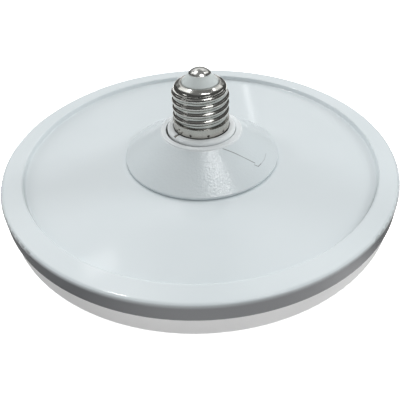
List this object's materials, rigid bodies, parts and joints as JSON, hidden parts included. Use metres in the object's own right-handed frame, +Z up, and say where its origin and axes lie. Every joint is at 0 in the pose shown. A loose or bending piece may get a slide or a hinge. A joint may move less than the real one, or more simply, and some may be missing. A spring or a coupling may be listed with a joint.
{
  "type": "disc led bulb",
  "caption": "Flat disc-shaped LED bulb: white round housing over an opal diffuser, with a low cone and a metal screw cap that hangs it from a lamp holder.",
  "frame": {"origin": "centre of the diffuser's flat face, which the bulb stands on with its cap up", "axes": "+Z up the axis of the screw cap, +X to the right and -Y to the front in the picture"},
  "size_m": [0.185, 0.185, 0.0606],
  "materials": {
    "white_plastic": "moulded, fine satin gloss",
    "opal_plastic": "translucent, satin",
    "nickel": "bright nickel plate on rolled sheet",
    "contact_metal": "bright nickel plate",
    "grey_insulator": "smooth, light grey",
    "spreader_aluminium": "pressed, bare",
    "white_board": "white solder mask on an aluminium core",
    "led_phosphor": "phosphor in a white package",
    "screw_steel": "zinc plated",
    "connector_plastic": "moulded",
    "green_board": "solder mask on glass fibre",
    "capacitor_sleeve": "shrunk sleeve",
    "film_box": "moulded box",
    "ferrite": "sintered, matt",
    "copper": "enamelled copper wire",
    "black_epoxy": "moulded epoxy",
    "fuse_coating": "painted ceramic",
    "varistor_coating": "dipped epoxy",
    "red_lead": "insulated wire",
    "black_lead": "insulated wire",
    "bare_wire": "bare tinned copper"
  },
  "bodies": {
    "root": {"contact_button": "contact_metal", "cap_insulator": "grey_insulator", "cap_shell": "nickel", "neck_collar": "white_plastic", "cone_cover": "white_plastic", "back_housing": "white_plastic", "diffuser": "opal_plastic", "cone_screws": "screw_steel", "heat_spreader": "spreader_aluminium", "led_board": "white_board", "led_packages": "led_phosphor", "board_screws": "screw_steel", "lead_connector": "connector_plastic", "driver_board": "green_board", "driver_screws": "screw_steel", "bulk_capacitor": "capacitor_sleeve", "output_capacitor": "capacitor_sleeve", "film_capacitor": "film_box", "choke_core": "ferrite", "choke_winding": "copper", "bridge_rectifier": "black_epoxy", "driver_chip": "black_epoxy", "fuse_resistor": "fuse_coating", "varistor": "varistor_coating", "live_lead": "red_lead", "neutral_lead": "bare_wire", "led_lead_positive": "red_lead", "led_lead_negative": "black_lead"}
  },
  "joints": []
}
